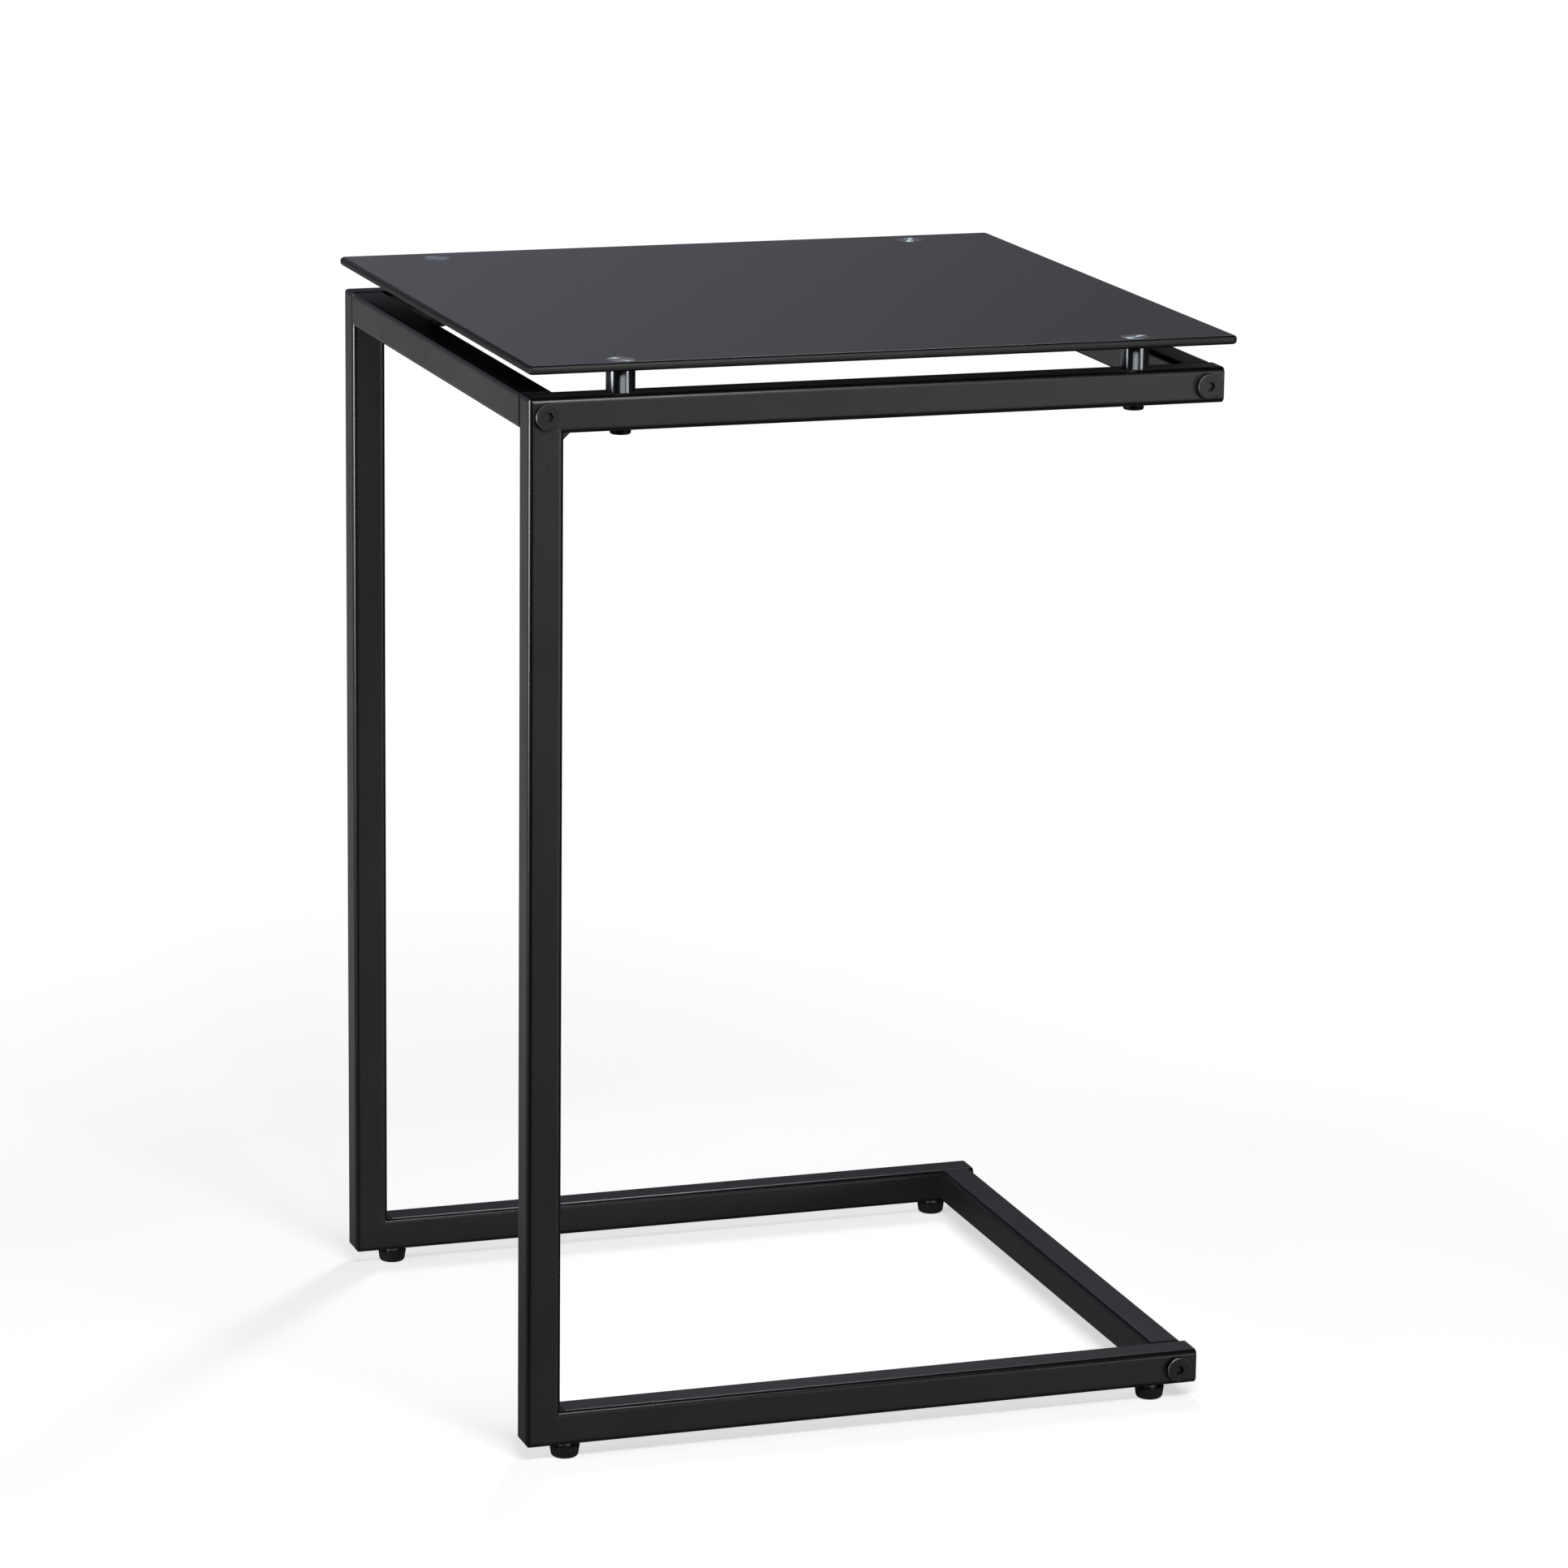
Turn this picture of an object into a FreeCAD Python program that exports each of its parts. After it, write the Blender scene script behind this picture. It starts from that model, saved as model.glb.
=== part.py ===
"""C-shaped side table: two square-tube side frames tied by crossbars carry a glass top.

Millimetres, +Z up. X runs along the rails, from the uprights (-X) to the open side (+X), and
Y runs from the front side frame (-Y) to the rear one. The origin is on the floor, under the
middle of the glass.
"""
import FreeCAD, Part
import math
import os

Vector = FreeCAD.Vector
X_AXIS = Vector(1, 0, 0)
Y_AXIS = Vector(0, 1, 0)
Z_AXIS = Vector(0, 0, 1)

# ---- Driving dimensions ----

# Square steel tube that the whole frame is cut from
tube_width = 20.0
tube_wall = 1.2
tube_edge_radius = 3.2

# Frame, over its tubes
frame_length = 400.0
frame_depth = 390.0
frame_height = 590.0
corner_radius = 3.2             # ground outside corner where an upright meets a rail
weld_leg = 3.0                  # weld fillet in the inside corner
weld_setback = 1.6              # from the tube's faces, either side of the weld
end_cap_thickness = 1.5
end_cap_edge_radius = 1.0
top_crossbar_inset = 0.0        # from the free ends of the top rails
bottom_crossbar_inset = 2.0     # from the free ends of the bottom rails

# Flat-headed bolts that hold the crossbars, and the threaded blocks that take them
bolt_diameter = 6.0
bolt_head_diameter = 14.0
bolt_head_height = 3.5
bolt_head_chamfer = 0.5
bolt_hole_clearance = 0.3       # radial, in the side frames
nut_block_length = 12.0
nut_block_clearance = 0.1       # between a block and the tube around it
bolt_tip_setback = 1.0          # the bolt ends this far inside its block
socket_across_flats = 5.0
socket_depth = 2.0
thread_clearance = 0.05         # radial, in every threaded hole

# Glass top
glass_thickness = 5.0
glass_overhang_left = 1.5
glass_overhang_right = 5.5
glass_overhang_ends = 5.0       # past the front and the rear side frame
glass_corner_radius = 3.5
glass_edge_radius = 2.1         # pencil-polished edge
enamel_thickness = 0.1          # black enamel on the underside
enamel_window_margin = 0.3      # clear ring round each bonded standoff

# Standoffs between the top rails and the glass, and the screws that hold them
standoff_diameter = 16.0
standoff_height = 13.0
standoff_inset_left = 54.0      # from the uprights' outer face
standoff_inset_right = 50.0     # from the free ends of the top rails
standoff_chamfer = 0.4
bond_thickness = 0.15           # clear adhesive between standoff and glass
bond_margin = 0.4
screw_diameter = 6.0
screw_head_diameter = 11.6
screw_head_height = 3.0
screw_head_rounding = 1.0
screw_engagement = 8.0          # thread inside the standoff
screw_tip_room = 1.5            # free depth of the standoff's hole beyond the screw
screw_hole_clearance = 0.3      # radial, in the top rails

# Levelling feet
foot_inset = 25.0               # from each end of a bottom rail
pad_top_diameter = 17.0
pad_bottom_diameter = 15.0
pad_height = 6.7
pad_floor = 2.5                 # plastic under the stud
pad_edge_radius = 2.2
pad_groove_count = 36
pad_groove_radius = 0.35
stud_diameter = 6.0
stud_rise = 17.0                # above the underside of the bottom rail
stud_tip_chamfer = 0.8
stud_collar_diameter = 9.0
stud_collar_height = 1.3
pad_stud_clearance = 0.05       # radial, the pad turns on its stud
insert_flange_diameter = 10.0
insert_flange_height = 1.0
insert_body_diameter = 8.0
insert_body_length = 11.0
insert_hole_clearance = 0.1     # radial, in the wall of the bottom rail

# ---- Derived places ----

half_tube = tube_width / 2
inner_width = tube_width - 2 * tube_wall
inner_edge_radius = max(tube_edge_radius - tube_wall, 0.2)

glass_length = frame_length + glass_overhang_left + glass_overhang_right
glass_depth = frame_depth + 2 * glass_overhang_ends

frame_left = -glass_length / 2 + glass_overhang_left
frame_right = frame_left + frame_length
frame_bottom = pad_height + stud_collar_height + insert_flange_height
frame_top = frame_bottom + frame_height
rail_axis_y = frame_depth / 2 - half_tube
bottom_axis_z = frame_bottom + half_tube
top_axis_z = frame_top - half_tube
glass_bottom = frame_top + standoff_height + bond_thickness

SIDES = {"front": -1, "rear": 1}
standoff_x = {"left": frame_left + standoff_inset_left, "right": frame_right - standoff_inset_right}
foot_x = {"left": frame_left + foot_inset, "right": frame_right - foot_inset}

# Crossbars: name -> (X, Z) of the tube's axis
crossbars = {
    "top_left": (frame_left + half_tube, top_axis_z),
    "top_right": (frame_right - top_crossbar_inset - half_tube, top_axis_z),
    "bottom_right": (frame_right - bottom_crossbar_inset - half_tube, bottom_axis_z),
}

# Cutting tools reach this far past what they cut
reach = tube_width


# ---- Shapes that repeat ----

def save(name, *solids):
    """Write one node, a single solid or a group of separate ones."""
    shape = solids[0] if len(solids) == 1 else Part.makeCompound(list(solids))
    shape.exportStep("parts/" + name + ".step")
    print(name, len(shape.Solids), "solid(s)", round(shape.Volume), "mm3")


def cylinder(radius, height, base, axis=Z_AXIS):
    return Part.makeCylinder(radius, height, base, axis)


def rounded_bar(width, edge_radius, length):
    """Square bar with rounded long edges, along +Z from the origin."""
    bar = Part.makeBox(width, width, length, Vector(-width / 2, -width / 2, 0))
    long_edges = [edge for edge in bar.Edges if abs(edge.tangentAt(edge.FirstParameter).z) > 0.9]
    return bar.makeFillet(edge_radius, long_edges)


def lay_along(shape, axis, start):
    """Turn a shape built along +Z to the given axis, and move its base to start."""
    turned = shape.copy()
    turned.Placement = FreeCAD.Placement(start, FreeCAD.Rotation(Z_AXIS, axis))
    return turned


def filled_tube(length, axis, start):
    """Outside form of a tube, without its hollow."""
    return lay_along(rounded_bar(tube_width, tube_edge_radius, length), axis, start)


def square_tube(length, axis, start):
    hollow = lay_along(rounded_bar(inner_width, inner_edge_radius, length), axis, start)
    return filled_tube(length, axis, start).cut(hollow)


def prism_xz(points, y_middle, y_width):
    """Prism along Y over a polygon given as (x, z) points."""
    corners = [Vector(x, y_middle - y_width / 2, z) for x, z in points]
    outline = Part.makePolygon(corners + corners[:1])
    return Part.Face(outline).extrude(Y_AXIS * y_width)


def hexagon_pocket(depth):
    """Hexagon socket tool, from the origin along +Z."""
    corner_distance = socket_across_flats / math.sqrt(3)
    corners = []
    for step in range(7):
        angle = math.radians(60 * step)
        corners.append(Vector(corner_distance * math.cos(angle), corner_distance * math.sin(angle), 0))
    return Part.Face(Part.makePolygon(corners)).extrude(Z_AXIS * depth)


def circle_edges(shape, z, radius):
    """Circular edges of this radius at this height."""
    found = []
    for edge in shape.Edges:
        if not hasattr(edge.Curve, "Radius"):
            continue
        if abs(edge.CenterOfMass.z - z) < 0.01 and abs(edge.Curve.Radius - radius) < 0.01:
            found.append(edge)
    return found


# ---- Side frames ----

def corner_tools(z_corner, up, y_axis):
    """Tools for one corner of a side frame: (off the upright, off the rail, outside rounding, weld).

    z_corner is the height of the outside corner, and up is +1 where the upright rises from it.
    """
    cut_width = tube_width + 2 * reach

    def at(along, rise):
        return (frame_left + along, z_corner + up * rise)

    far = tube_width + reach
    rail_side = prism_xz([at(-reach, -reach), at(far, -reach), at(far, far)], y_axis, cut_width)
    upright_side = prism_xz([at(-reach, -reach), at(far, far), at(-reach, far)], y_axis, cut_width)

    outside = prism_xz(
        [at(-reach, -reach), at(corner_radius, -reach), at(corner_radius, corner_radius),
         at(-reach, corner_radius)], y_axis, cut_width)
    round_axis = Vector(frame_left + corner_radius, y_axis - cut_width / 2, z_corner + up * corner_radius)
    rounding = outside.cut(cylinder(corner_radius, cut_width, round_axis, Y_AXIS))

    # The weld reaches back to where the tubes' edges start to round, and so fills the notch there
    root = tube_width - tube_edge_radius
    toe = tube_width + weld_leg + tube_edge_radius
    weld = prism_xz([at(root, root), at(toe, root), at(root, toe)], y_axis, tube_width - 2 * weld_setback)
    return rail_side, upright_side, rounding, weld


def bolt_hole(x, z, y_axis):
    radius = bolt_diameter / 2 + bolt_hole_clearance
    return cylinder(radius, tube_width + 2 * reach, Vector(x, y_axis - half_tube - reach, z), Y_AXIS)


def build_side_frame(side):
    y_axis = SIDES[side] * rail_axis_y
    rail_length = frame_length - end_cap_thickness
    runs = ((frame_height, Z_AXIS, Vector(frame_left + half_tube, y_axis, frame_bottom)),
            (rail_length, X_AXIS, Vector(frame_left, y_axis, bottom_axis_z)),
            (rail_length, X_AXIS, Vector(frame_left, y_axis, top_axis_z)))
    upright, bottom_rail, top_rail = [square_tube(*run) for run in runs]
    outsides = [filled_tube(*run) for run in runs]

    off_upright, off_rail, rounding, bottom_weld = corner_tools(frame_bottom, 1, y_axis)
    upright = upright.cut(off_upright).cut(rounding)
    bottom_rail = bottom_rail.cut(off_rail).cut(rounding)
    off_upright, off_rail, rounding, top_weld = corner_tools(frame_top, -1, y_axis)
    upright = upright.cut(off_upright).cut(rounding)
    top_rail = top_rail.cut(off_rail).cut(rounding)
    upright = upright.fuse([bottom_weld.cut(outsides), top_weld.cut(outsides)]).removeSplitter()

    for name, (x, z) in crossbars.items():
        hole = bolt_hole(x, z, y_axis)
        if name == "bottom_right":
            bottom_rail = bottom_rail.cut(hole)
        else:
            top_rail = top_rail.cut(hole)
            upright = upright.cut(hole)

    for x in standoff_x.values():
        radius = screw_diameter / 2 + screw_hole_clearance
        start = Vector(x, y_axis, frame_top - tube_width - reach / 2)
        top_rail = top_rail.cut(cylinder(radius, tube_width + reach, start))
    for x in foot_x.values():
        radius = insert_body_diameter / 2 + insert_hole_clearance
        bottom_rail = bottom_rail.cut(cylinder(radius, half_tube, Vector(x, y_axis, frame_bottom - tube_wall)))

    save(side + "_upright", upright)
    save(side + "_bottom_rail", bottom_rail)
    save(side + "_top_rail", top_rail)

    cap = rounded_bar(tube_width, tube_edge_radius, end_cap_thickness)
    outer_edges = [edge for edge in cap.Edges if edge.BoundBox.ZMin > end_cap_thickness - 0.01]
    cap = cap.makeFillet(end_cap_edge_radius, outer_edges)
    cap_x = frame_right - end_cap_thickness
    caps = [lay_along(cap, X_AXIS, Vector(cap_x, y_axis, z)) for z in (bottom_axis_z, top_axis_z)]
    save(side + "_rail_end_caps", *caps)


# ---- Crossbars, their threaded blocks and their bolts ----

def socket_bolt():
    """Bolt along +Z: the head's seat is at the origin and the head lies on the -Z side."""
    head_radius = bolt_head_diameter / 2
    head = cylinder(head_radius, bolt_head_height, Vector(0, 0, -bolt_head_height))
    head = head.makeChamfer(bolt_head_chamfer, circle_edges(head, -bolt_head_height, head_radius))
    pocket = hexagon_pocket(socket_depth)
    pocket.translate(Vector(0, 0, -bolt_head_height))
    shank_length = tube_width + nut_block_length - bolt_tip_setback
    shank = cylinder(bolt_diameter / 2, shank_length, Vector(0, 0, 0))
    return head.cut(pocket).fuse(shank).removeSplitter()


def build_crossbar(name, x, z):
    half_span = frame_depth / 2 - tube_width
    save(name + "_crossbar", square_tube(2 * half_span, Y_AXIS, Vector(x, -half_span, z)))

    block_width = inner_width - 2 * nut_block_clearance
    block = rounded_bar(block_width, inner_edge_radius, nut_block_length)
    thread_radius = bolt_diameter / 2 + thread_clearance
    block = block.cut(cylinder(thread_radius, nut_block_length, Vector(0, 0, 0)))
    bolt = socket_bolt()
    blocks = []
    bolts = []
    for sign in SIDES.values():
        inward = Y_AXIS * -sign
        blocks.append(lay_along(block, inward, Vector(x, sign * half_span, z)))
        bolts.append(lay_along(bolt, inward, Vector(x, sign * frame_depth / 2, z)))
    save(name + "_crossbar_nuts", *blocks)
    save(name + "_crossbar_bolts", *bolts)


# ---- Glass top on its standoffs ----

def rounded_plate(length, depth, thickness, corner, bottom):
    plate = Part.makeBox(length, depth, thickness, Vector(-length / 2, -depth / 2, bottom))
    upright_edges = [edge for edge in plate.Edges if abs(edge.tangentAt(edge.FirstParameter).z) > 0.9]
    return plate.makeFillet(corner, upright_edges)


def build_glass():
    glass = rounded_plate(glass_length, glass_depth, glass_thickness, glass_corner_radius, glass_bottom)
    flat_edges = [edge for edge in glass.Edges if edge.BoundBox.ZLength < 0.01]
    save("glass_top", glass.makeFillet(glass_edge_radius, flat_edges))

    enamel = rounded_plate(glass_length - 2 * glass_edge_radius, glass_depth - 2 * glass_edge_radius,
                           enamel_thickness, glass_corner_radius - glass_edge_radius,
                           glass_bottom - enamel_thickness)
    window_radius = standoff_diameter / 2 + enamel_window_margin
    for side_sign in SIDES.values():
        for x in standoff_x.values():
            start = Vector(x, side_sign * rail_axis_y, glass_bottom - 2 * enamel_thickness)
            enamel = enamel.cut(cylinder(window_radius, 3 * enamel_thickness, start))
    save("glass_enamel", enamel)


def standoff():
    """Standoff along +Z from the origin, with a threaded hole in its base."""
    radius = standoff_diameter / 2
    body = cylinder(radius, standoff_height, Vector(0, 0, 0))
    rims = circle_edges(body, 0, radius) + circle_edges(body, standoff_height, radius)
    body = body.makeChamfer(standoff_chamfer, rims)
    thread_radius = screw_diameter / 2 + thread_clearance
    return body.cut(cylinder(thread_radius, screw_engagement + screw_tip_room, Vector(0, 0, 0)))


def standoff_screw():
    """Screw along +Z: the head's seat is at the origin and the head hangs below it."""
    head_radius = screw_head_diameter / 2
    head = cylinder(head_radius, screw_head_height, Vector(0, 0, -screw_head_height))
    head = head.makeFillet(screw_head_rounding, circle_edges(head, -screw_head_height, head_radius))
    pocket = hexagon_pocket(socket_depth)
    pocket.translate(Vector(0, 0, -screw_head_height))
    shank = cylinder(screw_diameter / 2, tube_width + screw_engagement, Vector(0, 0, 0))
    return head.cut(pocket).fuse(shank).removeSplitter()


def build_standoffs():
    one_standoff = standoff()
    one_screw = standoff_screw()
    screws = []
    bonds = []
    for side, side_sign in SIDES.items():
        for end, x in standoff_x.items():
            y = side_sign * rail_axis_y
            save(side + "_" + end + "_standoff", lay_along(one_standoff, Z_AXIS, Vector(x, y, frame_top)))
            screws.append(lay_along(one_screw, Z_AXIS, Vector(x, y, frame_top - tube_width)))
            bonds.append(cylinder(standoff_diameter / 2 - bond_margin, bond_thickness,
                                  Vector(x, y, frame_top + standoff_height)))
    save("standoff_screws", *screws)
    save("standoff_bonds", *bonds)


# ---- Levelling feet ----

def foot_pad():
    """Tapered plastic pad with a grooved grip, standing on z = 0, bored for its stud."""
    top_radius = pad_top_diameter / 2
    bottom_radius = pad_bottom_diameter / 2
    pad = Part.makeCone(bottom_radius, top_radius, pad_height)
    pad = pad.makeFillet(pad_edge_radius, circle_edges(pad, 0, bottom_radius))
    taper = math.atan2(top_radius - bottom_radius, pad_height)
    groove_axis = Vector(math.sin(taper), 0, math.cos(taper))
    groove = cylinder(pad_groove_radius, 2 * pad_height, Vector(bottom_radius, 0, 0), groove_axis)
    grooves = []
    for step in range(pad_groove_count):
        one = groove.copy()
        one.rotate(Vector(0, 0, 0), Z_AXIS, 360 * step / pad_groove_count)
        grooves.append(one)
    pad = pad.cut(grooves)
    bore_radius = stud_diameter / 2 + pad_stud_clearance
    return pad.cut(cylinder(bore_radius, pad_height, Vector(0, 0, pad_floor)))


def foot_stud():
    """Stud with the collar that rests on the pad, in place over z = 0."""
    radius = stud_diameter / 2
    length = frame_bottom + stud_rise - pad_floor
    stud = cylinder(radius, length, Vector(0, 0, pad_floor))
    stud = stud.makeChamfer(stud_tip_chamfer, circle_edges(stud, pad_floor + length, radius))
    collar = cylinder(stud_collar_diameter / 2, stud_collar_height, Vector(0, 0, pad_height))
    return stud.fuse(collar).removeSplitter()


def foot_insert():
    """Flanged threaded insert in the wall of the bottom rail, in place over z = 0."""
    flange = cylinder(insert_flange_diameter / 2, insert_flange_height,
                      Vector(0, 0, frame_bottom - insert_flange_height))
    body = cylinder(insert_body_diameter / 2, insert_body_length, Vector(0, 0, frame_bottom))
    insert = flange.fuse(body).removeSplitter()
    thread_radius = stud_diameter / 2 + thread_clearance
    thread_length = insert_flange_height + insert_body_length
    return insert.cut(cylinder(thread_radius, thread_length, Vector(0, 0, frame_bottom - insert_flange_height)))


def build_feet():
    one_pad = foot_pad()
    one_stud = foot_stud()
    one_insert = foot_insert()
    inserts = []
    for side, side_sign in SIDES.items():
        for end, x in foot_x.items():
            place = Vector(x, side_sign * rail_axis_y, 0)
            save(side + "_" + end + "_foot_pad", lay_along(one_pad, Z_AXIS, place))
            save(side + "_" + end + "_foot_stud", lay_along(one_stud, Z_AXIS, place))
            inserts.append(lay_along(one_insert, Z_AXIS, place))
    save("foot_inserts", *inserts)


os.makedirs("parts", exist_ok=True)
for side_name in SIDES:
    build_side_frame(side_name)
for bar_name, (bar_x, bar_z) in crossbars.items():
    build_crossbar(bar_name, bar_x, bar_z)
build_glass()
build_standoffs()
build_feet()
print("frame from z", round(frame_bottom, 2), "to", round(frame_top, 2),
      "and glass from z", round(glass_bottom, 2), "to", round(glass_bottom + glass_thickness, 2))
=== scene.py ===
# %% [markdown]
# # A C-shaped side table
#
# The real table is a black frame of square steel tube that carries a sheet of black glass on
# four bright standoffs. The solids of the frame come in at their real size from the
# construction model, so what this file adds is the finish of every surface, the glass with
# its painted underside, and a small photo studio round it all. We start by loading the
# frame, because every later step is placed from its nodes.

import math

import bmesh
import bpy
from mathutils import Matrix, Vector


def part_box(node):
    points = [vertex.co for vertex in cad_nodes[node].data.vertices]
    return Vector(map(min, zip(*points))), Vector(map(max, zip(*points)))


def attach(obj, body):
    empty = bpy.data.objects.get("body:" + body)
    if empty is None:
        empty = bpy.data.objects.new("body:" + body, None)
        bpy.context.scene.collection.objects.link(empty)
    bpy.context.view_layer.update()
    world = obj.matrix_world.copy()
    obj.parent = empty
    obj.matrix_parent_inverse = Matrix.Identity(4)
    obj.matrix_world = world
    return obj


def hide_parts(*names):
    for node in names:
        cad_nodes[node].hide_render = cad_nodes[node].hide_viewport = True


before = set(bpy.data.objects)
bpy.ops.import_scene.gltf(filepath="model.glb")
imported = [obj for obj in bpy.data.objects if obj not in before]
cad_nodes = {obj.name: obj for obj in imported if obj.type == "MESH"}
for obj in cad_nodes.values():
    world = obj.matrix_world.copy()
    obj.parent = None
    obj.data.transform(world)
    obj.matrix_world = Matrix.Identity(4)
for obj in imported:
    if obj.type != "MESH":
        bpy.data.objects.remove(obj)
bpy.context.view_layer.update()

# %% [markdown]
# Three small helpers keep the rest short. Colours are written as sRGB hex values, which is how
# paint cards and screens give them, but a shader calculates in linear light, so the first
# converts them. The second adds one shader node, sets its properties, and fills or links its
# sockets, so that a material reads as a list of its nodes. The third starts a material. The
# sockets of a Mix node share their names and have to be picked by number, so the numbers
# get names.

# %% Colour and node helpers
MM = 0.001
FACTOR, COLOUR_A, COLOUR_B, MIXED = 0, 6, 7, 2    # sockets of a Mix node that mixes colours
NUMBER_A, NUMBER_B = 2, 3                         # and of one that mixes numbers
NOISE_LOW, NOISE_HIGH = 0.3, 0.7                  # most values of a noise lie between these


def linear(hex_colour):
    """sRGB hex, such as "2a2a2c", to a linear RGBA colour."""
    channels = [int(hex_colour[start:start + 2], 16) / 255 for start in (0, 2, 4)]
    return [c / 12.92 if c <= 0.04045 else ((c + 0.055) / 1.055) ** 2.4 for c in channels] + [1.0]


def add_node(tree, kind, sockets=None, **settings):
    """Add a node. A socket's value is a number, a colour or the output that it is linked to."""
    node = tree.nodes.new(kind)
    for name, value in settings.items():
        setattr(node, name, value)
    for name, value in (sockets or {}).items():
        if isinstance(value, bpy.types.NodeSocket):
            tree.links.new(value, node.inputs[name])
        else:
            node.inputs[name].default_value = value
    return node


def new_material(name):
    """An empty node material, its tree and its output node."""
    material = bpy.data.materials.new(name)
    material.use_nodes = True
    material.node_tree.nodes.clear()
    output = add_node(material.node_tree, "ShaderNodeOutputMaterial")
    return material, material.node_tree, output


print("Black powder coat in linear light:", [round(c, 4) for c in linear("2a2a2c")[:3]])

# %% [markdown]
# The camera could be aimed with a constraint, but a fixed place and three angles are easier to
# read and never depend on another object. It stands well back with a long lens, as product
# photographers do, so that the uprights stay almost parallel. It looks slightly down, from
# the side of the uprights.

# %% Camera
CAMERA_PLACE = Vector((-1118.6, -3337.5, 1172.8)) * MM
CAMERA_TURN = math.radians(18.68)     # from +Y towards +X
CAMERA_DOWN = math.radians(13.46)
CAMERA_ROLL = math.radians(0.70)
IMAGE_SIDE = 1932                     # pixels, square
FOCAL_PIXELS = 7677

camera_data = bpy.data.cameras.new("camera")
camera = bpy.data.objects.new("camera", camera_data)
bpy.context.scene.collection.objects.link(camera)
camera_data.lens = camera_data.sensor_width * FOCAL_PIXELS / IMAGE_SIDE
camera_data.clip_end = 100
aim = (Matrix.Rotation(-CAMERA_TURN, 4, "Z")
       @ Matrix.Rotation(math.pi / 2 - CAMERA_DOWN, 4, "X")
       @ Matrix.Rotation(CAMERA_ROLL, 4, "Z"))
camera.matrix_world = Matrix.Translation(CAMERA_PLACE) @ aim
bpy.context.scene.camera = camera
bpy.context.scene.view_settings.view_transform = "Standard"
print("Lens", round(camera_data.lens, 1), "mm")

# %% [markdown]
# The table stands on a seamless white sweep. A white floor could be made by lighting it until
# it burns out, but that light would bleach the table too. So the paper answers three kinds of
# ray in three ways. The camera sees white paper that catches the soft shadows, with added
# light: a little under the table, so that the shadows stay, and more farther off, where the
# sweep melts into plain white. The table is lit by a darker paper, because a bright one would
# light the tubes from below, and on the photographer's side a dark cloth lies over it.
# A glossy surface mirrors that same floor with a glow on it, behind the table on the left, as
# if a lamp washed over the backdrop. The glow is what brightens the left faces of the tubes.

# %% Floor
FLOOR_HALF = 30.0                     # metres, like the distances below
FLOOR_SEEN = "e6e5e2"                 # the paper, as the camera sees it
FLOOR_BOUNCE = "808083"               # and as it lights the table
FLOOR_CARPET = "3a3a3b"               # the dark cloth
LIFT_NEAR, LIFT_FAR = 0.60, 1.0       # strength of the added light
LIFT_START, LIFT_END = 0.5, 1.5       # from the middle of the table
CARPET_START, CARPET_FULL = -0.25, -0.55      # along Y, towards the photographer
SHEEN_GLOW = 0.37                     # strength of the glow
SHEEN_START, SHEEN_FULL = 0.05, 0.75  # along Y, behind the table
SHEEN_RIGHT, SHEEN_LEFT = 0.05, -0.20         # along X, it grows to the left

floor_mesh = bpy.data.meshes.new("floor")
floor_corners = [(x * FLOOR_HALF, y * FLOOR_HALF, 0) for x, y in ((-1, -1), (1, -1), (1, 1), (-1, 1))]
floor_mesh.from_pydata(floor_corners, [], [(0, 1, 2, 3)])
floor = bpy.data.objects.new("floor", floor_mesh)
bpy.context.scene.collection.objects.link(floor)

paper, tree, output = new_material("studio_paper_matt_white")
place = add_node(tree, "ShaderNodeTexCoord").outputs["Object"]
spot = add_node(tree, "ShaderNodeSeparateXYZ", {0: place})
path = add_node(tree, "ShaderNodeLightPath")

# What the camera sees
distance = add_node(tree, "ShaderNodeVectorMath", {0: place}, operation="LENGTH")
lift_level = add_node(tree, "ShaderNodeMapRange", {
    "Value": distance.outputs["Value"], "From Min": LIFT_START, "From Max": LIFT_END,
    "To Min": LIFT_NEAR, "To Max": LIFT_FAR})
seen = add_node(tree, "ShaderNodeBsdfDiffuse", {"Color": linear(FLOOR_SEEN)})
lift = add_node(tree, "ShaderNodeEmission", {"Color": linear("ffffff"), "Strength": lift_level.outputs[0]})
paper_seen = add_node(tree, "ShaderNodeAddShader", {0: seen.outputs[0], 1: lift.outputs[0]})

# What lights the table
carpet = add_node(tree, "ShaderNodeMapRange", {
    "Value": spot.outputs["Y"], "From Min": CARPET_START, "From Max": CARPET_FULL})
covered = add_node(tree, "ShaderNodeMix", {
    FACTOR: carpet.outputs[0], COLOUR_A: linear(FLOOR_BOUNCE), COLOUR_B: linear(FLOOR_CARPET)},
    data_type="RGBA")
bounce = add_node(tree, "ShaderNodeBsdfDiffuse", {"Color": covered.outputs[MIXED]})

# What a glossy surface mirrors
glow_behind = add_node(tree, "ShaderNodeMapRange", {
    "Value": spot.outputs["Y"], "From Min": SHEEN_START, "From Max": SHEEN_FULL,
    "To Min": 0.0, "To Max": SHEEN_GLOW})
glow_side = add_node(tree, "ShaderNodeMapRange", {
    "Value": spot.outputs["X"], "From Min": SHEEN_RIGHT, "From Max": SHEEN_LEFT})
glow_level = add_node(tree, "ShaderNodeMath", {0: glow_behind.outputs[0], 1: glow_side.outputs[0]},
                      operation="MULTIPLY")
glow = add_node(tree, "ShaderNodeEmission", {"Color": linear("ffffff"), "Strength": glow_level.outputs[0]})
paper_mirrored = add_node(tree, "ShaderNodeAddShader", {0: bounce.outputs[0], 1: glow.outputs[0]})

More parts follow.
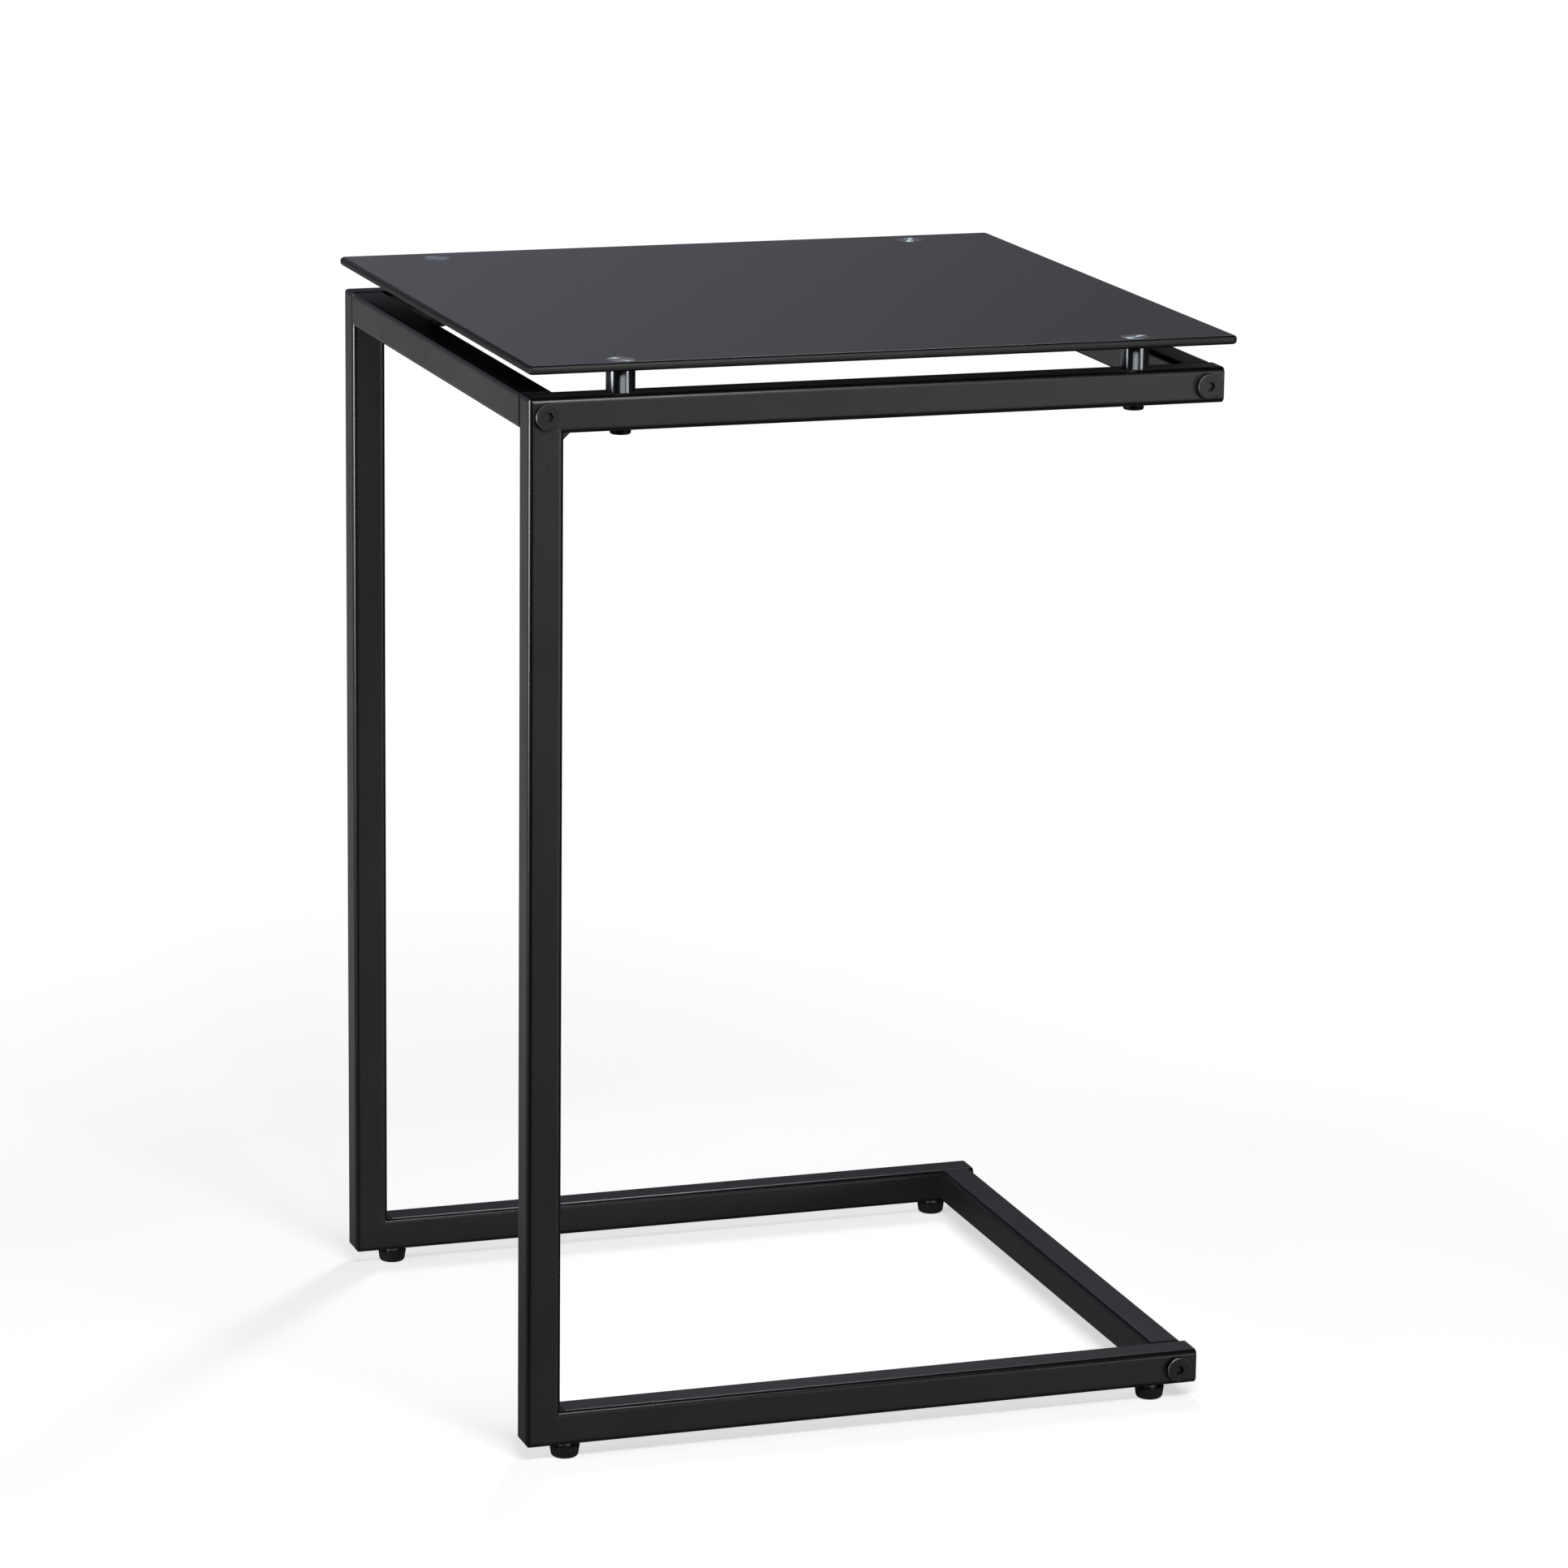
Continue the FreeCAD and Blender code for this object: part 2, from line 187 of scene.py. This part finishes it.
unseen = add_node(tree, "ShaderNodeMixShader", {
    0: path.outputs["Is Glossy Ray"], 1: bounce.outputs[0], 2: paper_mirrored.outputs[0]})
paper_mix = add_node(tree, "ShaderNodeMixShader", {
    0: path.outputs["Is Camera Ray"], 1: unseen.outputs[0], 2: paper_seen.outputs[0]})
tree.links.new(paper_mix.outputs[0], output.inputs["Surface"])
floor_mesh.materials.append(paper)
print("Floor", 2 * FLOOR_HALF, "m wide")

# %% [markdown]
# Black glass and chrome look like whatever stands round them, so the room matters as much as
# the lamps. An image of a studio could wrap the scene, but three gradients are enough. The
# walls are a cool mid grey, a little darker on the open side of the table, and the glass
# mirrors them. Above them hangs a dark ceiling, which keeps the tops of the tubes dark. The
# side that the photographer stands on is hung with black cloth, and that draws a dark line
# down every rounded tube edge. The camera itself sees plain white.

# %% World
WALL_LIGHT_SIDE = "797983"
WALL_DARK_SIDE = "646469"
WALL_START, WALL_END = 0.25, 0.37     # X of a direction, from the light to the dark side
CLOTH_DIRECTION = (-0.50, -0.86, 0.0)
CLOTH_EDGE, CLOTH_INSIDE = 0.60, 0.92         # cosine of the angle to that direction
CLOTH_LEVEL = 0.12
CEILING_START, CEILING_FULL = 0.20, 0.40      # Z of a direction
CEILING_LEVEL = 0.18

world = bpy.data.worlds.new("studio")
bpy.context.scene.world = world
world.use_nodes = True
tree = world.node_tree
tree.nodes.clear()
direction = add_node(tree, "ShaderNodeTexCoord").outputs["Generated"]
split = add_node(tree, "ShaderNodeSeparateXYZ", {0: direction})
across = add_node(tree, "ShaderNodeMapRange", {
    "Value": split.outputs["X"], "From Min": WALL_START, "From Max": WALL_END})
wall = add_node(tree, "ShaderNodeMix", {
    FACTOR: across.outputs[0], COLOUR_A: linear(WALL_LIGHT_SIDE), COLOUR_B: linear(WALL_DARK_SIDE)},
    data_type="RGBA")
towards_cloth = add_node(tree, "ShaderNodeVectorMath", {0: direction, 1: CLOTH_DIRECTION},
                         operation="DOT_PRODUCT")
cloth = add_node(tree, "ShaderNodeMapRange", {
    "Value": towards_cloth.outputs["Value"], "From Min": CLOTH_EDGE, "From Max": CLOTH_INSIDE,
    "To Min": 1.0, "To Max": CLOTH_LEVEL})
ceiling = add_node(tree, "ShaderNodeMapRange", {
    "Value": split.outputs["Z"], "From Min": CEILING_START, "From Max": CEILING_FULL,
    "To Min": 1.0, "To Max": CEILING_LEVEL})
level = add_node(tree, "ShaderNodeMath", {0: cloth.outputs[0], 1: ceiling.outputs[0]}, operation="MULTIPLY")
room = add_node(tree, "ShaderNodeBackground", {
    "Color": wall.outputs[MIXED], "Strength": level.outputs[0]})
white = add_node(tree, "ShaderNodeBackground", {"Color": linear("ffffff"), "Strength": 1.0})
path = add_node(tree, "ShaderNodeLightPath")
sky = add_node(tree, "ShaderNodeMixShader", {
    0: path.outputs["Is Camera Ray"], 1: room.outputs[0], 2: white.outputs[0]})
add_node(tree, "ShaderNodeOutputWorld", {"Surface": sky.outputs[0]})
print("World", world.name)

# %% [markdown]
# Four softboxes light the table. They are area lamps, because the size of a lamp is what makes
# a shadow soft and a highlight broad. The side softbox stands on the side of the uprights and
# lights their outer faces. The far front softbox stands a long way off, towards the open side,
# and lights the front faces. Both stay below the plane of the top, so that the black glass
# can't mirror them as white patches. The front softbox hangs in front, higher than the top, so
# that the front faces fade towards the floor. The rear softbox is narrow and hangs behind the
# table, and it draws the bow tie on the turned discs under the glass.

# %% Lamps
def softbox(name, place, aim, size, power, colour="ffffff"):
    """Area lamp of (width, height) in metres, at place, aimed at a point, with its power in watts."""
    lamp = bpy.data.lights.new(name, "AREA")
    lamp.shape = "RECTANGLE"
    lamp.size, lamp.size_y = size
    lamp.energy = power
    lamp.color = linear(colour)[:3]
    holder = bpy.data.objects.new(name, lamp)
    bpy.context.scene.collection.objects.link(holder)
    holder.location = place
    holder.rotation_mode = "QUATERNION"
    holder.rotation_quaternion = (Vector(aim) - Vector(place)).to_track_quat("-Z", "Y")
    holder.visible_camera = False
    return holder


TABLE_MIDDLE = (0, 0, 0.30)
TABLE_TOP = (0, 0, 0.61)
softbox("side_softbox", (-2.2, -0.3, 0.28), TABLE_MIDDLE, (0.6, 0.5), 19)
softbox("front_softbox", (-0.1, -1.2, 1.25), (-0.1, -0.2, 0.5), (0.8, 0.4), 13)
softbox("far_front_softbox", (3.5, -4.8, 0.30), TABLE_MIDDLE, (2.0, 0.5), 62)
softbox("rear_softbox", (0.38, 0.82, 1.38), TABLE_TOP, (0.16, 0.6), 6, "f2f6ff")
print("Lamps", [lamp.name for lamp in bpy.data.lights])

# %% [markdown]
# The frame is mild steel tube with a polyester powder coat. The powder melts into a
# satin black film of about 80 micrometres with a fine orange peel. A flat black would look like
# a hole in the picture, so the coat gets its peel as a bump, a faint mottling of its colour and
# a slow drift of its gloss. Round the tube's corners the melt pulls thin and smooth, so the gloss
# is sharper there. The colour is also darkened there as painted shade, which draws a dark line
# along each edge. Those places are found by the direction of the surface: where it faces along
# no axis, the tube is turning a corner. Near the top of the front upright the film has one small
# pit. The bump dents it, and its colour there is set to black as painted shade inside it.

# %% Powder-coated steel
PEEL_WIDTH = 1.4 * MM                 # drawn about twice as coarse as real, so that it shows
PEEL_DEPTH = 0.05 * MM
GRAIN_WIDTH = 0.5 * MM
DRIFT_WIDTH = 45 * MM
COAT_DARK, COAT_LIGHT = "1d1d1f", "29292b"
COAT_GLOSSY, COAT_DULL = 0.37, 0.43   # roughness
# painted shade: the colour of the rounded corners, darkened to draw a dark line along each edge
COAT_CORNER_SHADE = "070708"
CORNER_ROUGHNESS = 0.25
CORNER_START, CORNER_FULL = 0.98, 0.90        # the largest part of a normal along one axis
COAT_PIT = Vector((-191.7, -195.0, 562.9)) * MM
PIT_RADIUS = 0.9 * MM


def powder_coat():
    material, tree, output = new_material("powder_coated_steel_satin_black")
    coordinates = add_node(tree, "ShaderNodeTexCoord")
    place = coordinates.outputs["Object"]
    peel = add_node(tree, "ShaderNodeTexNoise", {"Vector": place, "Scale": 1 / PEEL_WIDTH, "Detail": 1.0})
    grain = add_node(tree, "ShaderNodeTexNoise", {"Vector": place, "Scale": 1 / GRAIN_WIDTH, "Detail": 2.0})
    drift = add_node(tree, "ShaderNodeTexNoise", {"Vector": place, "Scale": 1 / DRIFT_WIDTH, "Detail": 3.0})
    tone = add_node(tree, "ShaderNodeValToRGB", {"Fac": grain.outputs["Fac"]})
    dark, light = tone.color_ramp.elements
    dark.position, dark.color = NOISE_LOW, linear(COAT_DARK)
    light.position, light.color = NOISE_HIGH, linear(COAT_LIGHT)
    gloss = add_node(tree, "ShaderNodeMapRange", {
        "Value": drift.outputs["Fac"], "From Min": NOISE_LOW, "From Max": NOISE_HIGH,
        "To Min": COAT_GLOSSY, "To Max": COAT_DULL})

    facing = add_node(tree, "ShaderNodeVectorMath", {0: coordinates.outputs["Normal"]},
                      operation="ABSOLUTE")
    axes = add_node(tree, "ShaderNodeSeparateXYZ", {0: facing.outputs[0]})
    larger = add_node(tree, "ShaderNodeMath", {0: axes.outputs["X"], 1: axes.outputs["Y"]},
                      operation="MAXIMUM")
    largest = add_node(tree, "ShaderNodeMath", {0: larger.outputs[0], 1: axes.outputs["Z"]},
                       operation="MAXIMUM")
    corner = add_node(tree, "ShaderNodeMapRange", {
        "Value": largest.outputs[0], "From Min": CORNER_START, "From Max": CORNER_FULL})
    # Painted shade: the colour is darkened round the corners, while the lower roughness below is real
    corner_shaded = add_node(tree, "ShaderNodeMix", {
        FACTOR: corner.outputs[0], COLOUR_A: tone.outputs["Color"], COLOUR_B: linear(COAT_CORNER_SHADE)},
        data_type="RGBA")
    smoothed = add_node(tree, "ShaderNodeMix", {
        FACTOR: corner.outputs[0], NUMBER_A: gloss.outputs[0], NUMBER_B: CORNER_ROUGHNESS})

    from_pit = add_node(tree, "ShaderNodeVectorMath", {0: place, 1: COAT_PIT}, operation="DISTANCE")
    pit = add_node(tree, "ShaderNodeMapRange", {
        "Value": from_pit.outputs["Value"], "From Min": PIT_RADIUS, "From Max": PIT_RADIUS / 2})
    # Painted shade: the colour is set to black inside the pit, where the dent lies in shade
    pit_shaded = add_node(tree, "ShaderNodeMix", {
        FACTOR: pit.outputs[0], COLOUR_A: corner_shaded.outputs[MIXED], COLOUR_B: linear("000000")},
        data_type="RGBA")
    relief = add_node(tree, "ShaderNodeMath", {0: peel.outputs["Fac"], 1: pit.outputs[0]},
                      operation="SUBTRACT")
    bump = add_node(tree, "ShaderNodeBump", {
        "Height": relief.outputs[0], "Strength": 0.35, "Distance": PEEL_DEPTH})
    coat = add_node(tree, "ShaderNodeBsdfPrincipled", {
        "Base Color": pit_shaded.outputs[MIXED], "Roughness": smoothed.outputs[0],
        "Normal": bump.outputs["Normal"], "IOR": 1.5})
    tree.links.new(coat.outputs[0], output.inputs["Surface"])
    return material


powder_coated_steel = powder_coat()
print("Made", powder_coated_steel.name)

# %% [markdown]
# The crossbar bolts and the screws under the rails are black-oxide steel. The oxide is a
# thin, slightly grey conversion layer with a dry, sandy look. So it is a dark metal with a fine
# grain, not a paint. How much a surface faces along the head's axis tells three zones apart: the
# sandy end, the chamfer round it, lightened as a painted highlight along the rim, and the
# smooth side, darkened as painted shade.

# %% Black-oxide steel
OXIDE_GRAIN = 0.28 * MM
OXIDE_RELIEF = 0.03 * MM
OXIDE_DARK, OXIDE_LIGHT = "2b2b2b", "484848"
OXIDE_LOW, OXIDE_HIGH = 0.32, 0.68    # of the grain's noise, for those two
# painted highlight on the chamfer round the end of each head, then painted shade on its side
OXIDE_RIM_HIGHLIGHT = "787878"
OXIDE_SIDE_SHADE = "0d0d0d"
HEAD_SIDE, HEAD_END = 0.4, 0.9        # how far along the axis a surface of the side or the end faces


def black_oxide(name, axis):
    """Oxide on a turned head whose axis is X, Y or Z: sandy end, chamfer with a painted highlight, side with
    painted shade.
    """
    material, tree, output = new_material(name)
    coordinates = add_node(tree, "ShaderNodeTexCoord")
    grain = add_node(tree, "ShaderNodeTexNoise", {
        "Vector": coordinates.outputs["Object"], "Scale": 1 / OXIDE_GRAIN, "Detail": 3.0})
    tone = add_node(tree, "ShaderNodeValToRGB", {"Fac": grain.outputs["Fac"]})
    dark, light = tone.color_ramp.elements
    dark.position, dark.color = OXIDE_LOW, linear(OXIDE_DARK)
    light.position, light.color = OXIDE_HIGH, linear(OXIDE_LIGHT)
    axes = add_node(tree, "ShaderNodeSeparateXYZ", {0: coordinates.outputs["Normal"]})
    facing = add_node(tree, "ShaderNodeMath", {0: axes.outputs[axis]}, operation="ABSOLUTE")
    is_side = add_node(tree, "ShaderNodeMath", {0: facing.outputs[0], 1: HEAD_SIDE}, operation="LESS_THAN")
    is_end = add_node(tree, "ShaderNodeMath", {0: facing.outputs[0], 1: HEAD_END}, operation="GREATER_THAN")
    # Painted light: the chamfer gets a lighter colour as a highlight, and the side gets a near black as shade
    rim = add_node(tree, "ShaderNodeMix", {
        FACTOR: is_side.outputs[0], COLOUR_A: linear(OXIDE_RIM_HIGHLIGHT), COLOUR_B: linear(OXIDE_SIDE_SHADE)},
        data_type="RGBA")
    head = add_node(tree, "ShaderNodeMix", {
        FACTOR: is_end.outputs[0], COLOUR_A: rim.outputs[MIXED], COLOUR_B: tone.outputs["Color"]},
        data_type="RGBA")
    bump = add_node(tree, "ShaderNodeBump", {
        "Height": grain.outputs["Fac"], "Strength": 0.3, "Distance": OXIDE_RELIEF})
    oxide = add_node(tree, "ShaderNodeBsdfPrincipled", {
        "Base Color": head.outputs[MIXED], "Metallic": 0.85, "Roughness": 0.42,
        "Normal": bump.outputs["Normal"]})
    tree.links.new(oxide.outputs[0], output.inputs["Surface"])
    return material


black_oxide_bolts = black_oxide("black_oxide_steel_bolts", "Y")
black_oxide_screws = black_oxide("black_oxide_steel_screws", "Z")
print("Made", black_oxide_bolts.name, "and", black_oxide_screws.name)

# %% [markdown]
# The studs and inserts of the feet, and the threaded blocks inside the crossbars, are
# zinc-plated steel: pale grey, half bright, with a slightly cloudy crystal pattern.

# %% Zinc-plated steel
ZINC_CLOUD = 1.5 * MM
ZINC = "b9bcc0"
ZINC_GLOSSY, ZINC_DULL = 0.22, 0.38    # roughness


def zinc_plate():
    material, tree, output = new_material("zinc_plated_steel")
    place = add_node(tree, "ShaderNodeTexCoord").outputs["Object"]
    cloud = add_node(tree, "ShaderNodeTexNoise", {"Vector": place, "Scale": 1 / ZINC_CLOUD, "Detail": 2.0})
    gloss = add_node(tree, "ShaderNodeMapRange", {
        "Value": cloud.outputs["Fac"], "To Min": ZINC_GLOSSY, "To Max": ZINC_DULL})
    zinc = add_node(tree, "ShaderNodeBsdfPrincipled", {
        "Base Color": linear(ZINC), "Metallic": 1.0, "Roughness": gloss.outputs[0]})
    tree.links.new(zinc.outputs[0], output.inputs["Surface"])
    return material


zinc_plated_steel = zinc_plate()
print("Made", zinc_plated_steel.name)

# %% [markdown]
# The standoffs are turned on a lathe and then chromed. The tool leaves very fine rings, so a
# highlight spreads across them: on the flat ends, seen through the glass, it becomes a bright
# bow tie, and on the round side it becomes upright bands. An anisotropic shader with its
# tangent round the axis does both at once, where a bump of real rings would need far too many
# pixels. The ends are bright. The sides are a step darker than plain chrome, as painted shade
# that keeps the posts quiet between the black glass and the black frame.

# %% Turned chrome
CHROME_END = "eef0f2"
# painted shade on the round sides
CHROME_SIDE_SHADE = "85888d"
END_START, END_FULL = 0.5, 0.9        # Z of a normal
RING_ROUGHNESS = 0.30
QUARTER_TURN = 0.25                   # so that a highlight runs across the rings


def turned_chrome_finish():
    material, tree, output = new_material("turned_chrome")
    normal = add_node(tree, "ShaderNodeTexCoord").outputs["Normal"]
    axes = add_node(tree, "ShaderNodeSeparateXYZ", {0: normal})
    upward = add_node(tree, "ShaderNodeMapRange", {
        "Value": axes.outputs["Z"], "From Min": END_START, "From Max": END_FULL})
    # Painted shade: the round sides get a darker colour than the bright ends
    chrome_and_side_shade = add_node(tree, "ShaderNodeMix", {
        FACTOR: upward.outputs[0], COLOUR_A: linear(CHROME_SIDE_SHADE), COLOUR_B: linear(CHROME_END)},
        data_type="RGBA")
    round_axis = add_node(tree, "ShaderNodeTangent", direction_type="RADIAL", axis="Z")
    chrome = add_node(tree, "ShaderNodeBsdfPrincipled", {
        "Base Color": chrome_and_side_shade.outputs[MIXED], "Metallic": 1.0, "Roughness": RING_ROUGHNESS,
        "Anisotropic": 1.0, "Anisotropic Rotation": QUARTER_TURN,
        "Tangent": round_axis.outputs["Tangent"]})
    tree.links.new(chrome.outputs[0], output.inputs["Surface"])
    return material


turned_chrome = turned_chrome_finish()
print("Made", turned_chrome.name)

# %% [markdown]
# The feet are moulded from black polypropylene. It is waxy and a little softer in its
# shine than the powder coat, with a faint flow texture from the mould.

# %% Moulded polypropylene
FLOW_WIDTH = 0.8 * MM
FLOW_RELIEF = 0.03 * MM
PLASTIC_DARK, PLASTIC_LIGHT = "161616", "1f1f1f"


def moulded_plastic():
    material, tree, output = new_material("polypropylene_moulded_black")
    place = add_node(tree, "ShaderNodeTexCoord").outputs["Object"]
    flow = add_node(tree, "ShaderNodeTexNoise", {"Vector": place, "Scale": 1 / FLOW_WIDTH, "Detail": 2.0})
    tone = add_node(tree, "ShaderNodeValToRGB", {"Fac": flow.outputs["Fac"]})
    dark, light = tone.color_ramp.elements
    dark.color, light.color = linear(PLASTIC_DARK), linear(PLASTIC_LIGHT)
    bump = add_node(tree, "ShaderNodeBump", {
        "Height": flow.outputs["Fac"], "Strength": 0.2, "Distance": FLOW_RELIEF})
    plastic = add_node(tree, "ShaderNodeBsdfPrincipled", {
        "Base Color": tone.outputs["Color"], "Roughness": 0.5, "IOR": 1.49,
        "Normal": bump.outputs["Normal"]})
    tree.links.new(plastic.outputs[0], output.inputs["Surface"])
    return material


polypropylene = moulded_plastic()
print("Made", polypropylene.name)

# %% [markdown]
# The top is tempered soda-lime glass, painted on its underside with a black ceramic enamel
# that is fired into the surface. Seen from above, the clear glass mirrors the room and the
# enamel behind it swallows the rest, which is what makes a black glass top look so deep.
# Its rim is ground, which leaves it matt and nearly as black as the enamel behind it. The three
# finishes sit on one mesh, because they are one piece of glass, with no air between.

# %% Glass and enamel
GLASS_CLEAR = "f1f6f4"
GRIT_WIDTH = 0.4 * MM
GROUND_DARK, GROUND_LIGHT = "0a0c0b", "141716"
PORE_WIDTH = 0.6 * MM
ENAMEL_DARK, ENAMEL_LIGHT = "070708", "0c0c0d"


def clear_glass():
    material, tree, output = new_material("soda_lime_glass_tempered")
    glass = add_node(tree, "ShaderNodeBsdfPrincipled", {
        "Base Color": linear(GLASS_CLEAR), "Roughness": 0.0, "IOR": 1.52, "Transmission Weight": 1.0})
    tree.links.new(glass.outputs[0], output.inputs["Surface"])
    return material


def ground_edge():
    material, tree, output = new_material("soda_lime_glass_ground_edge")
    place = add_node(tree, "ShaderNodeTexCoord").outputs["Object"]
    grit = add_node(tree, "ShaderNodeTexNoise", {"Vector": place, "Scale": 1 / GRIT_WIDTH, "Detail": 2.0})
    tone = add_node(tree, "ShaderNodeValToRGB", {"Fac": grit.outputs["Fac"]})
    dark, light = tone.color_ramp.elements
    dark.color, light.color = linear(GROUND_DARK), linear(GROUND_LIGHT)
    edge = add_node(tree, "ShaderNodeBsdfPrincipled", {
        "Base Color": tone.outputs["Color"], "Roughness": 0.6, "IOR": 1.52})
    tree.links.new(edge.outputs[0], output.inputs["Surface"])
    return material


def black_enamel():
    material, tree, output = new_material("ceramic_enamel_fired_black")
    place = add_node(tree, "ShaderNodeTexCoord").outputs["Object"]
    pores = add_node(tree, "ShaderNodeTexNoise", {"Vector": place, "Scale": 1 / PORE_WIDTH, "Detail": 2.0})
    tone = add_node(tree, "ShaderNodeValToRGB", {"Fac": pores.outputs["Fac"]})
    dark, light = tone.color_ramp.elements
    dark.color, light.color = linear(ENAMEL_DARK), linear(ENAMEL_LIGHT)
    # It touches the glass, so the step from glass to enamel has no gloss of its own
    enamel = add_node(tree, "ShaderNodeBsdfPrincipled", {
        "Base Color": tone.outputs["Color"], "Roughness": 0.35, "IOR": 1.5, "Specular IOR Level": 0.0})
    tree.links.new(enamel.outputs[0], output.inputs["Surface"])
    return material


soda_lime_glass = clear_glass()
ground_glass = ground_edge()
ceramic_enamel = black_enamel()
print("Made", soda_lime_glass.name + ",", ground_glass.name, "and", ceramic_enamel.name)

# %% [markdown]
# Now the glass itself. Its rim is rounded by a profiled wheel, and a narrow band of it is
# polished. A bevel modifier could round a plain sheet, but the enamel needs faces of its own
# with four clear windows over the standoffs, so the mesh is built ring by ring. First comes the
# outline, a rectangle with quarter-circle corners.

# %% Outline of the glass
glass_low, glass_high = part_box("glass_top")
GLASS_CORNER = 3.5 * MM
CORNER_STEPS = 8


def sheet_outline(inset):
    """Points round the sheet, drawn in by inset from the outer edge."""
    radius = GLASS_CORNER - inset
    points = []
    for quarter, (x_edge, y_edge, x_in, y_in) in enumerate((
            (glass_high.x, glass_high.y, -1, -1), (glass_low.x, glass_high.y, 1, -1),
            (glass_low.x, glass_low.y, 1, 1), (glass_high.x, glass_low.y, -1, 1))):
        centre = Vector((x_edge + x_in * GLASS_CORNER, y_edge + y_in * GLASS_CORNER))
        for step in range(CORNER_STEPS + 1):
            angle = math.pi / 2 * (quarter + step / CORNER_STEPS)
            points.append(centre + radius * Vector((math.cos(angle), math.sin(angle))))
    return points


print("Outline of", len(sheet_outline(0)), "points")

# %% [markdown]
# The rim is a stack of those outlines that follows a quarter circle up from the underside and
# another over to the top face. From below, the rim is enamelled where the paint laps over it,
# then ground, then polished in a narrow band, and ground again along its upper edge. The
# underside is filled between the outline and four circles, and the circles stay clear. Out of
# each of them grows the clear adhesive that holds a standoff: it bends light as much as the
# glass does, so to the eye they are one body.

# %% Glass sheet
RIM_RADIUS = 2.1 * MM
RIM_STEPS = 8
CLEAR, ENAMELLED, GROUND = 0, 1, 2    # material slots of the sheet
RIM_FINISHES = 4 * [ENAMELLED] + 9 * [GROUND] + 2 * [CLEAR] + 2 * [GROUND]
WINDOW_MARGIN = 0.3 * MM
WINDOW_STEPS = 64
BOND_MARGIN = 0.4 * MM
BOND_AIR = 0.01 * MM                  # a hair of air above the chrome, so that no two faces coincide
STANDOFFS = [side + "_" + end + "_standoff" for side in ("front", "rear") for end in ("left", "right")]


def ring(mesh, points, height):
    """Closed loop of vertices and edges at one height."""
    corners = [mesh.verts.new((point.x, point.y, height)) for point in points]
    edges = [mesh.edges.new((corners[i - 1], corners[i])) for i in range(len(corners))]
    return corners, edges


def circle_points(centre, radius):
    turns = [2 * math.pi * step / WINDOW_STEPS for step in range(WINDOW_STEPS)]
    return [Vector((centre.x + radius * math.cos(a), centre.y + radius * math.sin(a))) for a in turns]


def build_glass_sheet():
    mesh = bmesh.new()
    profile = []
    for step in range(RIM_STEPS + 1):
        angle = math.pi / 2 * step / RIM_STEPS
        profile.append((RIM_RADIUS * (1 - math.sin(angle)), glass_low.z + RIM_RADIUS * (1 - math.cos(angle))))
    profile += [(inset, glass_low.z + glass_high.z - height) for inset, height in reversed(profile)]
    rings = [ring(mesh, sheet_outline(inset), height) for inset, height in profile]
    for (lower, _), (upper, _), finish in zip(rings, rings[1:], RIM_FINISHES):
        for i in range(len(lower)):
            face = mesh.faces.new((lower[i - 1], lower[i], upper[i], upper[i - 1]))
            face.smooth = True
            face.material_index = finish
    mesh.faces.new(rings[-1][0])

    windows = []
    for name in STANDOFFS:
        low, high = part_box(name)
        window_points = circle_points((low + high) / 2, (high.x - low.x) / 2 + WINDOW_MARGIN)
        windows.append(ring(mesh, window_points, glass_low.z))
    border = rings[0][1] + [edge for _, edges in windows for edge in edges]
    painted = bmesh.ops.triangle_fill(mesh, edges=border, use_beauty=True, normal=(0, 0, -1))
    for face in painted["geom"]:
        if isinstance(face, bmesh.types.BMFace):
            face.material_index = ENAMELLED

    for (window, _), name in zip(windows, STANDOFFS):
        low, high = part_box(name)
        bond_points = circle_points((low + high) / 2, (high.x - low.x) / 2 - BOND_MARGIN)
        bond_root = ring(mesh, bond_points, glass_low.z)[0]
        bond_end = ring(mesh, bond_points, high.z + BOND_AIR)[0]
        for outer, inner in ((window, bond_root), (bond_root, bond_end)):
            for i in range(WINDOW_STEPS):
                mesh.faces.new((outer[i - 1], outer[i], inner[i], inner[i - 1]))
        mesh.faces.new(bond_end)
    bmesh.ops.recalc_face_normals(mesh, faces=mesh.faces)

    data = bpy.data.meshes.new("glass_sheet")
    mesh.to_mesh(data)
    mesh.free()
    for finish in (soda_lime_glass, ceramic_enamel, ground_glass):    # CLEAR, ENAMELLED, GROUND
        data.materials.append(finish)
    sheet = bpy.data.objects.new("glass_sheet", data)
    bpy.context.scene.collection.objects.link(sheet)
    return sheet


glass_sheet = build_glass_sheet()
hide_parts("glass_top", "glass_enamel", "standoff_bonds")
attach(glass_sheet, "table")
print("Glass sheet of", len(glass_sheet.data.polygons), "faces")

# %% [markdown]
# Every other piece keeps its own solid and only needs its finish. The names of the nodes say
# what they are, so a short list of name endings is enough to hand out the materials. Three
# nodes get none: the plain glass, its enamel and the adhesive, which the sheet replaces.

# %% Finishes of the solids
FINISHES = (
    ("_upright", powder_coated_steel), ("_rail", powder_coated_steel),
    ("_rail_end_caps", powder_coated_steel), ("_crossbar", powder_coated_steel),
    ("_crossbar_nuts", zinc_plated_steel), ("_crossbar_bolts", black_oxide_bolts),
    ("_standoff", turned_chrome), ("standoff_screws", black_oxide_screws), ("_foot_pad", polypropylene),
    ("_foot_stud", zinc_plated_steel), ("foot_inserts", zinc_plated_steel),
)

for name, solid in cad_nodes.items():
    for ending, material in FINISHES:
        if name.endswith(ending):
            solid.data.materials.clear()
            solid.data.materials.append(material)
            break
    else:
        print("The glass sheet stands for", name)
